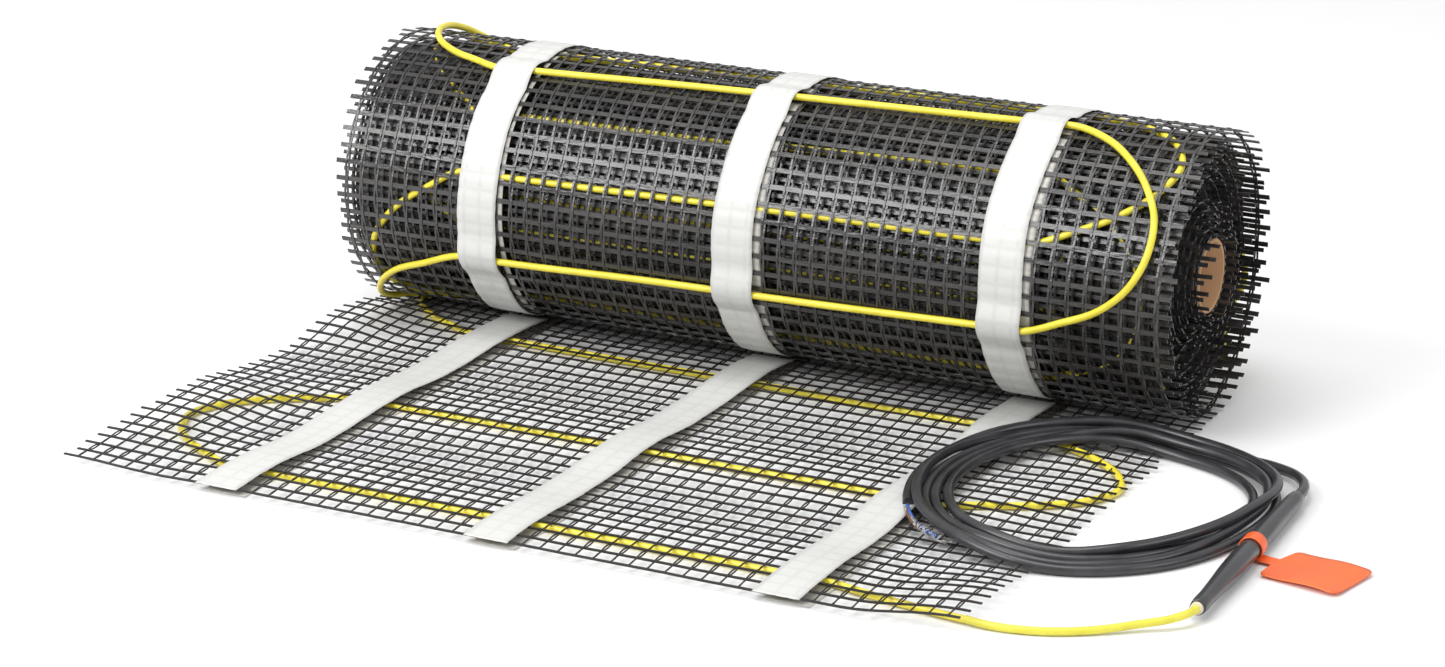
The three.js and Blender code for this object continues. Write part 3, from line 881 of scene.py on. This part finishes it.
def tape_pieces(settings):
    """Three tapes on the cable side and three on the plain side, to the end of the mat's outer turn."""
    white = tape_material(settings, "tape", ((0.62, 0.62, 0.60), (0.53, 0.53, 0.51)))
    # The tapes seen under the mesh: the adhesive side's beige tone, with painted shade from the mesh over
    # them.
    under = tape_material(settings, "tape_underside", ((0.62, 0.605, 0.55), (0.46, 0.44, 0.40)))
    cable = flat_cable_line()
    last = along_at(TAPES_TO)

    def on_top(x, y):
        return underside(x, y, cable) + MESH_THICKNESS + 0.0003

    for number, (side, shift) in enumerate(ROLL_TAPE_SHIFTS.items()):
        centre = (number - 1) * settings.tape_pitch
        shown = centre + shift
        along = np.arange(FLAT_LENGTH - 0.01, last, 0.0016)
        off = over_cable(settings, centre, along)
        tape_strip(f"outer_tape_{side}_roll", settings, shown, along, off, white, number + 1)

        along = np.arange(0.0005, FLAT_LENGTH - 0.008, 0.003)
        off = np.full(len(along), 0.0002)
        below = centre + SHOWS_ON_FLOOR
        tape_strip(f"outer_tape_{side}_floor", settings, below, along, off, under, number + 4)

        along = np.arange(-0.0022, FLAT_LENGTH - 0.022, 0.0024)
        off = np.zeros(len(along))
        tape_strip(f"inner_tape_{side}_floor", settings, centre, along, off, white, number + 7, on_top)

        along = np.arange(FLAT_LENGTH + 0.002, last, 0.004)
        off = np.full(len(along), -0.0016)
        below = shown + SHOWS_ON_ROLL
        tape_strip(f"inner_tape_{side}_roll", settings, below, along, off, under, number + 10)


# Core, joint and tag


def core_piece():
    """The card tube in the roll."""
    half, outer, inner, soft = 0.250, 0.0205, 0.0185, 0.0004
    profile = [
        (-half + soft, inner), (-half, inner + soft), (-half, outer - soft), (-half + soft, outer),
        (half - soft, outer), (half, outer - soft), (half, inner + soft), (half - soft, inner),
    ]
    tube = turned("card_tube", profile, ROLL_MIDDLE, (1, 0, 0), card_material(), 72)
    as_piece(tube, ["cardboard_core"])


SLEEVE_START = (344.6, 70, 6.7)
SLEEVE_TURN = math.radians(2)
SLEEVE_LENGTH = 0.161
# The shrunk sleeve's outline: millimetres from its lower end, and its radius there.
SLEEVE_OUTLINE = [
    (0, 3.7), (2, 4.0), (14, 4.15), (26, 4.5), (38, 5.0), (52, 5.55), (62, 5.7), (70, 5.65), (78, 5.4),
    (90, 5.3), (108, 5.35), (120, 5.05), (133, 4.7), (148, 4.5), (157, 4.35), (161, 3.9),
]


def sleeve_axis():
    """The sleeve's lower end and its direction, in the shared frame."""
    return spot(*SLEEVE_START), Vector((-math.sin(SLEEVE_TURN), math.cos(SLEEVE_TURN), 0))


def joint_pieces():
    """The shrunk sleeve and its liner."""
    start, direction = sleeve_axis()
    rubber = mottled(
        "sleeve", ((0.026, 0.026, 0.029), (0.045, 0.045, 0.049)), 90, (0.26, 0.36), (160, 0.22, 0.0012),
        (1, 0.25, 1), {"Coat Weight": 0.2, "Coat Roughness": 0.25},
    )
    cream = mottled("liner", ((0.62, 0.55, 0.38), (0.78, 0.72, 0.56)), 300, (0.4, 0.6))
    smooth = line_through([(at / 1000, radius / 1000, 0) for at, radius in SLEEVE_OUTLINE], 0.0025)
    bore = 0.0033
    profile = [(0.0004, bore), *[(at, radius) for at, radius, _ in smooth], (SLEEVE_LENGTH - 0.0004, bore)]
    sleeve = turned("sleeve", profile, start, direction, rubber)
    as_piece(sleeve, ["joint_sleeve"])
    liner_profile = [
        (-0.0014, 0), (-0.0014, 0.0026), (-0.0011, 0.0031), (0.0, 0.0032), (SLEEVE_LENGTH, 0.0032),
        (SLEEVE_LENGTH + 0.0011, 0.0031), (SLEEVE_LENGTH + 0.0014, 0.0028), (SLEEVE_LENGTH + 0.0014, 0),
    ]
    liner = turned("sleeve_liner", liner_profile, start, direction, cream)
    as_piece(liner, ["joint_liner"])
    return [sleeve, liner]


def tag_piece():
    """The orange tag: a strip that runs round the sleeve, with a neck and a flag."""
    start, direction = sleeve_axis()
    orange = mottled(
        "tag", ((0.80, 0.115, 0.022), (0.92, 0.15, 0.03)), 45, (0.30, 0.42), (90, 0.12, 0.0008),
        shader_values={"Subsurface Weight": 0.05},
    )
    loop_at, loop_radius, half_thick = 0.087, 0.0060, 0.0003
    side = Vector((direction.y, -direction.x, 0))
    centre = start + direction * loop_at
    foot = centre + Vector((0, 0, -loop_radius))
    turn = math.radians(-12)
    out, up = Vector((math.cos(turn), math.sin(turn), 0)), Vector((-math.sin(turn), math.cos(turn), 0))
    rows = []
    for angle in np.linspace(0, 355, 44):
        a = math.radians(270 - angle)
        radial = side * math.cos(a) + Vector((0, 0, 1)) * math.sin(a)
        width = 0.0040 - 0.0004 * math.cos(math.radians(angle))
        rows.append((centre + radial * loop_radius, direction, radial, width))
    rows.reverse()
    neck, length, wide, corner = 0.0145, 0.0425, 0.0188, 0.0035
    stations = [0.0002, 0.003, 0.006, 0.009, 0.0115, 0.0132]
    stations += [neck + corner * (1 - math.cos(a)) for a in np.linspace(0.001, math.pi / 2, 7)]
    stations += list(np.linspace(neck + 0.006, neck + length - 0.006, 12))
    stations += [neck + length - corner * (1 - math.sin(a)) for a in np.linspace(0, math.pi / 2 - 0.001, 7)]
    for at in stations:
        width = 0.0042
        if at >= neck:
            rounding = max(0.0, corner - min(at - neck, neck + length - at))
            width = wide - corner + math.sqrt(max(0.0, corner**2 - rounding**2))
        curl = 0.0004 + 0.0022 * smoothstep(at, 0.02, 0.056) * math.sin(at * 48) ** 2
        place = foot + out * at + Vector((0, 0, curl))
        turned_out = float(smoothstep(at, 0, 0.008))
        sideways = (direction * (1 - turned_out) + up * turned_out).normalized()
        rows.append((place, sideways, Vector((0, 0, -1)), width))
    shares = np.linspace(-1, 1, 13)
    upper, lower = [], []
    for place, sideways, normal, width in rows:
        bow = 0.0007 if abs(normal.z + 1) < 1e-6 else 0
        across = [place + sideways * (width * share) + Vector((0, 0, bow * share**2)) for share in shares]
        upper.append([(p + normal * half_thick)[:] for p in across])
        lower.append([(p - normal * half_thick)[:] for p in across])
    tag = slab("tag", np.array(upper), np.array(lower), orange)
    return as_piece(tag, ["joint_tag"])


# Cold lead

COIL_CENTRE = (244, 188)
COIL_HALF = (86.75, 98.25)
# Height of the lowest layer's mid line on the floor, and how much more it has where it lies on the mesh.
COIL_REST, ON_MESH = 2.9, 4.4
# How far the coil bulges where the lead runs into it, and the direction and spread of that, in degrees.
BULGE, BULGE_AT, BULGE_SPREAD = 9, 32, 30
BRAID_WIRES = 26
# The coil's turns: degrees round it, millimetres in from its outer edge, millimetres over the lowest layer.
COIL_TURNS = [
    (62, -4, 0), (90, -4, 0), (135, 0, 0), (180, 2, 4.6), (225, 1.5, 3), (270, -0.5, 0), (315, 0, 0),
    (360, 2, 0), (405, 2.5, 0), (450, 3, 0), (495, 6, 0), (540, 5, 0), (585, 4.5, 0), (630, 6, 0),
    (675, 8.5, 0), (720, 8, 4), (765, 6, 4.8), (810, 8, 4.6), (855, 12, 0), (900, 10.8, 0), (945, 11, 0),
    (990, 14.5, 0), (1035, 15, 0), (1080, 13, 0), (1125, 14, 0), (1170, 14.5, 0), (1215, 17.5, 0.5),
    (1260, 16.5, 0), (1305, 17, 1), (1350, 20, 0.5), (1395, 16, 4.9), (1440, 8, 8.8), (1485, 0.5, 5.2),
    (1530, -1, 5), (1575, -2.5, 3.4), (1620, -3.8, 0.5), (1656, -4.6, -0.6),
]


def coil_point(degrees, inset, lift):
    """A place of the coil: it rests on the mesh at its left and on the floor at its right."""
    angle = math.radians(degrees)
    from_bulge = (degrees - BULGE_AT + 180) % 360 - 180
    bulge = BULGE * math.exp(-((from_bulge / BULGE_SPREAD) ** 2))
    x = COIL_CENTRE[0] + (COIL_HALF[0] - inset + bulge) * math.cos(angle)
    y = COIL_CENTRE[1] + (COIL_HALF[1] - inset + bulge) * math.sin(angle)
    rest = COIL_REST + ON_MESH * float(smoothstep(272 - x, 0, 62))
    return x, y, rest + lift


def coil_line():
    """The coil's mid line from where the lead reaches it, in the mat's own frame."""
    angles = np.arange(COIL_TURNS[0][0], COIL_TURNS[-1][0] + 0.1, 6.0)
    places, insets, lifts = np.array(COIL_TURNS, float).T

    def eased(values):
        i = np.clip(np.searchsorted(places, angles, side="right") - 1, 0, len(places) - 2)
        t = (angles - places[i]) / (places[i + 1] - places[i])
        return values[i] + (values[i + 1] - values[i]) * (1 - np.cos(np.pi * np.clip(t, 0, 1))) / 2

    wander = 0.7 * np.sin(np.radians(angles) * 1.37 + 0.6) + 0.4 * np.sin(np.radians(angles) * 2.9)
    return [coil_point(*turn) for turn in zip(angles, eased(insets) + wander, eased(lifts))]


def stripped_end(settings):
    """The bared cores and the earth braid at the cut end."""
    silver = mottled(
        "braid", ((0.50, 0.49, 0.46), (0.80, 0.79, 0.76)), 900, (0.28, 0.45),
        shader_values={"Metallic": 0.75},
    )
    blue = mottled("blue_core", ((0.015, 0.10, 0.42), (0.02, 0.14, 0.55)), 200, (0.35, 0.45))
    brown = mottled("brown_core", ((0.11, 0.045, 0.02), (0.16, 0.07, 0.03)), 200, (0.35, 0.45))
    last_angle, last_inset, last_lift = COIL_TURNS[-1]
    bared = []
    for name, material, diameter, shift, until in (
        ("blue_core", blue, 0.0019, 0.0, 25), ("brown_core", brown, 0.0017, 1.6, 17),
    ):
        way = []
        for turn in np.linspace(-1.5, until, 9):
            inset = last_inset - shift * min(1, turn / 6) - turn * 0.05
            lift = last_lift + 0.5 * math.cos(turn / 4)
            way.append(spot(*coil_point(last_angle + turn, inset, lift)))
        core = tube_object(name, line_through(way, 0.002), diameter, material, 2)
        bared.append(as_piece(core, ["stripped_cores"]))

    random = np.random.default_rng(settings.seed)
    wires, faces = [], []
    for _ in range(BRAID_WIRES):
        phase, spread, reach = random.uniform(0, TURN), random.uniform(0.6, 2.6), random.uniform(17, 31)
        way = []
        for turn in np.linspace(-1.0, reach, 12):
            opened = 1.1 + spread * float(smoothstep(turn, 8, reach)) * 1.3
            x, y, z = coil_point(last_angle + turn, last_inset - 0.8, last_lift)
            spin = phase + 0.55 * turn
            y += opened * 0.8 * math.cos(spin + 1)
            z += opened * 0.8 * math.sin(spin)
            way.append(spot(x + opened * math.cos(spin), y, z))
        line = line_through(way, 0.003)
        line[:, 2] = np.maximum(line[:, 2], 0.0004)
        add_wire(wires, faces, line, 0.00017)
    braid = mesh_object("braid", wires, faces, silver)
    bared.append(as_piece(braid, ["stripped_cores"]))
    return bared


def lead_pieces(settings):
    """The cold lead from the joint through the sleeve into its coil, and its stripped end."""
    black = mottled(
        "cold_lead", ((0.020, 0.020, 0.023), (0.034, 0.034, 0.038)), 70, (0.30, 0.42), (500, 0.12, 0.0005),
        shader_values={"Coat Weight": 0.25, "Coat Roughness": 0.18},
    )
    start, direction = sleeve_axis()
    inside = [start + direction * at for at in (0.002, 0.05, 0.10, 0.14, 0.1608)]
    stretch = [(338.5, 243, 6.5), (335.0, 255, 5.8), (326.5, 267, 5.0), (313, 275.5, 4.2), *coil_line()[1:]]
    points = line_through([*inside, *[spot(*p) for p in stretch]], 0.0045)
    points[:, 2] = np.maximum(points[:, 2], settings.lead_diameter / 2 + 0.0001)
    lead = tube_object("cold_lead_run", points, settings.lead_diameter, black, 3)
    as_piece(lead, ["cold_lead", "cold_lead_coil", "cold_lead_end"])
    stripped_end(settings)


def add_wire(points, faces, line, radius):
    """Adds a thin closed triangular wire along a line to lists of points and faces."""
    first = len(points)
    ahead = np.gradient(line, axis=0)
    for place, way in zip(line, ahead):
        way = Vector(way).normalized()
        side = way.orthogonal().normalized()
        other = way.cross(side)
        for i in range(3):
            angle = TURN * i / 3
            points.append((Vector(place) + (side * math.cos(angle) + other * math.sin(angle)) * radius)[:])
    for ring in range(len(line) - 1):
        here = first + 3 * ring
        for i in range(3):
            j = (i + 1) % 3
            faces.append([here + i, here + j, here + 3 + j, here + 3 + i])
    end = first + 3 * (len(line) - 1)
    faces.append([first + 2, first + 1, first])
    faces.append([end, end + 1, end + 2])


# Stage


def stage():
    """The floor, the lights and the camera."""
    floor_points = [(-6, -6, 0), (6, -6, 0), (6, 6, 0), (-6, 6, 0)]
    white = mottled("floor", ((0.86, 0.86, 0.86), (0.88, 0.88, 0.88)), 3, (0.55, 0.65), (50, 0.02, 0.001))
    mesh_object("floor", floor_points, [[0, 1, 2, 3]], white, smooth=False)

    world = bpy.data.worlds.new("studio")
    world.use_nodes = True
    tree = world.node_tree
    tree.nodes.clear()
    way = add_node(tree, "ShaderNodeTexCoord").outputs["Generated"]
    up = add_node(tree, "ShaderNodeSeparateXYZ", {"Vector": way}).outputs["Z"]
    sky = colored(tree, up, ((0.80, 0.80, 0.80), (0.95, 0.95, 0.96)), (0.0, 0.75))
    background = add_node(tree, "ShaderNodeBackground", {"Color": sky, "Strength": 0.78})
    add_node(tree, "ShaderNodeOutputWorld", {"Surface": background.outputs[0]})
    bpy.context.scene.world = world

    for name, place, aim, size, power in (
        ("key", (-1.05, -1.65, 1.45), (0, 0.1, 0.08), 1.3, 40),
        ("top", (-0.1, -0.2, 2.4), (0, 0.05, 0.05), 1.4, 24),
        ("side", (2.1, -0.3, 1.3), (0.1, 0.05, 0.05), 0.9, 8),
    ):
        light = bpy.data.lights.new(name, "AREA")
        light.shape = "SQUARE"
        light.size = size
        light.energy = power
        lamp = link(bpy.data.objects.new(name, light))
        lamp.location = place
        lamp.rotation_euler = (Vector(aim) - Vector(place)).to_track_quat("-Z", "Y").to_euler()

    camera = bpy.data.cameras.new("camera")
    camera.lens = 90.45
    camera.sensor_width = 36
    eye = link(bpy.data.objects.new("camera", camera))
    eye.location = (0.86340, -1.64702, 0.65735)
    eye.rotation_mode = "QUATERNION"
    down, round_up, roll = 0.3166, 0.4726, 0.0022
    aimed = Euler((math.pi / 2 - down, 0, round_up)).to_quaternion()
    eye.rotation_quaternion = aimed @ Quaternion((0, 0, 1), roll)
    bpy.context.scene.camera = eye
    bpy.context.scene.view_settings.view_transform = "Standard"


# Operators


class HEATINGMAT_OT_mesh(Operator):
    """Build the woven mesh, flat and rolled"""

    bl_idname = "heatingmat.mesh"
    bl_label = "Woven Mesh"

    def execute(self, context):
        mesh_pieces(context.scene.heating_mat)
        return {"FINISHED"}


class HEATINGMAT_OT_cable(Operator):
    """Build the heating cable and its free end"""

    bl_idname = "heatingmat.cable"
    bl_label = "Heating Cable"

    def execute(self, context):
        cable_pieces(context.scene.heating_mat)
        return {"FINISHED"}


class HEATINGMAT_OT_tapes(Operator):
    """Build the tapes on both sides of the mesh"""

    bl_idname = "heatingmat.tapes"
    bl_label = "Tapes"

    def execute(self, context):
        tape_pieces(context.scene.heating_mat)
        return {"FINISHED"}


class HEATINGMAT_OT_core(Operator):
    """Build the card tube in the roll"""

    bl_idname = "heatingmat.core"
    bl_label = "Card Tube"

    def execute(self, context):
        core_piece()
        return {"FINISHED"}


class HEATINGMAT_OT_lead(Operator):
    """Build the joint sleeve, its tag and the coiled cold lead"""

    bl_idname = "heatingmat.lead"
    bl_label = "Joint, Tag and Cold Lead"

    def execute(self, context):
        on_sleeve = [*joint_pieces(), tag_piece()]
        lead_pieces(context.scene.heating_mat)
        return {"FINISHED"}


class HEATINGMAT_OT_stage(Operator):
    """Build the floor, the lights and the camera"""

    bl_idname = "heatingmat.stage"
    bl_label = "Stage"

    def execute(self, context):
        stage()
        return {"FINISHED"}


class HEATINGMAT_PT_panel(Panel):
    """Lists the mat's settings and operators"""

    bl_label = "Heating Mat"
    bl_idname = "HEATINGMAT_PT_panel"
    bl_space_type = "VIEW_3D"
    bl_region_type = "UI"
    bl_category = "Heating Mat"

    def draw(self, context):
        settings = context.scene.heating_mat
        for name in settings.bl_rna.properties.keys():
            if name not in ("rna_type", "name"):
                self.layout.prop(settings, name)
        for operator in OPERATORS:
            self.layout.operator(operator.bl_idname)


OPERATORS = (
    HEATINGMAT_OT_stage,
    HEATINGMAT_OT_cable,
    HEATINGMAT_OT_lead,
    HEATINGMAT_OT_mesh,
    HEATINGMAT_OT_tapes,
    HEATINGMAT_OT_core,
)
CLASSES = (HeatingMatSettings, *OPERATORS, HEATINGMAT_PT_panel)


def register():
    """Registers the settings, the operators and the panel."""
    for cls in CLASSES:
        bpy.utils.register_class(cls)
    bpy.types.Scene.heating_mat = PointerProperty(type=HeatingMatSettings)


def unregister():
    """Removes what register added."""
    del bpy.types.Scene.heating_mat
    for cls in reversed(CLASSES):
        bpy.utils.unregister_class(cls)


def main():
    """Builds the stage and every piece."""
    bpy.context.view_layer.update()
    register()
    for operator in OPERATORS:
        group, name = operator.bl_idname.split(".")
        getattr(getattr(bpy.ops, group), name)()


if __name__ == "__main__":
    main()
